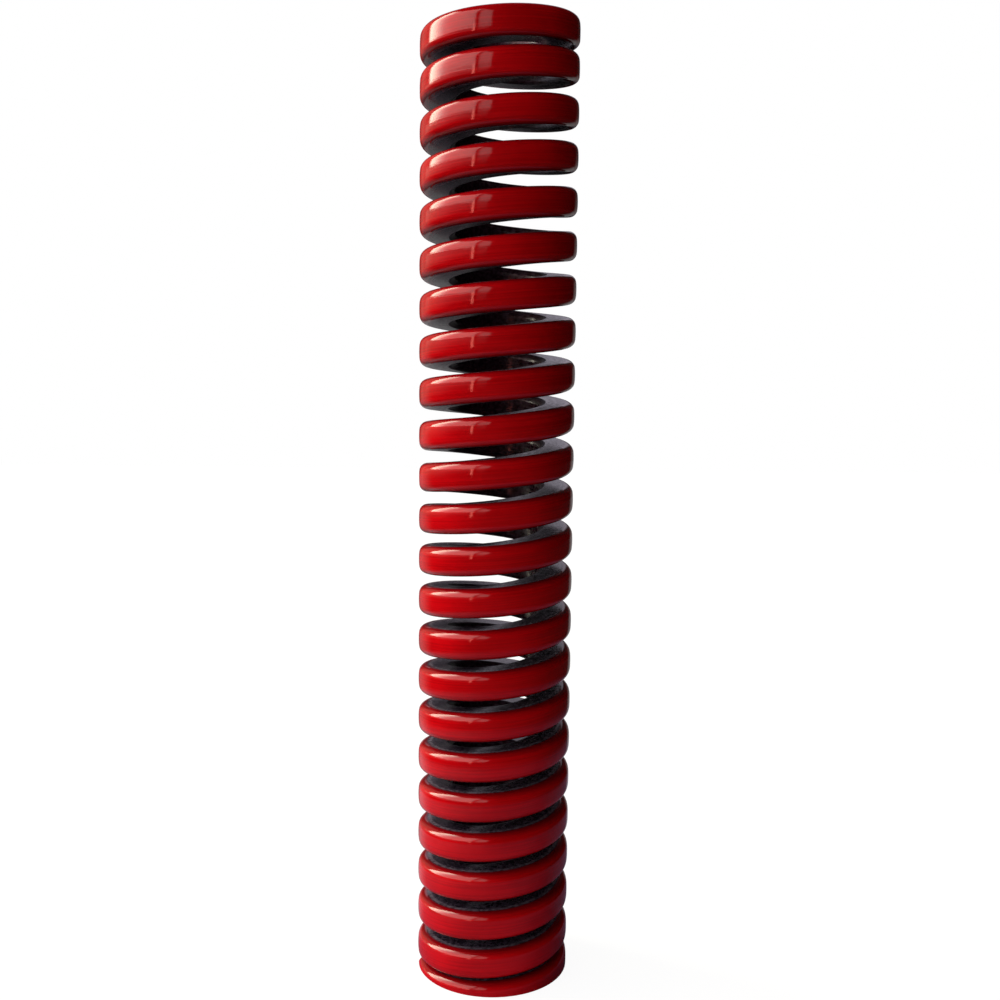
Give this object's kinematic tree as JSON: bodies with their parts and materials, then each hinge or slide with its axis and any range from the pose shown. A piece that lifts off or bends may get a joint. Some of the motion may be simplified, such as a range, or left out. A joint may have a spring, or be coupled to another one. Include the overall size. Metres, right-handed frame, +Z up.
{
  "type": "die spring",
  "caption": "Rectangular-wire compression spring with closed, ground ends, for a round pocket with a guide rod through its bore; painted steel.",
  "frame": {"origin": "centre of the lower ground end, on the surface it stands on", "axes": "+Z up the axis of the coil, from the lower ground end to the upper one"},
  "size_m": [0.0247, 0.0246, 0.152],
  "materials": {
    "red_enamelled_steel": "glossy red stove enamel over dark spring steel"
  },
  "bodies": {
    "root": {"die_spring": "red_enamelled_steel"}
  },
  "joints": []
}
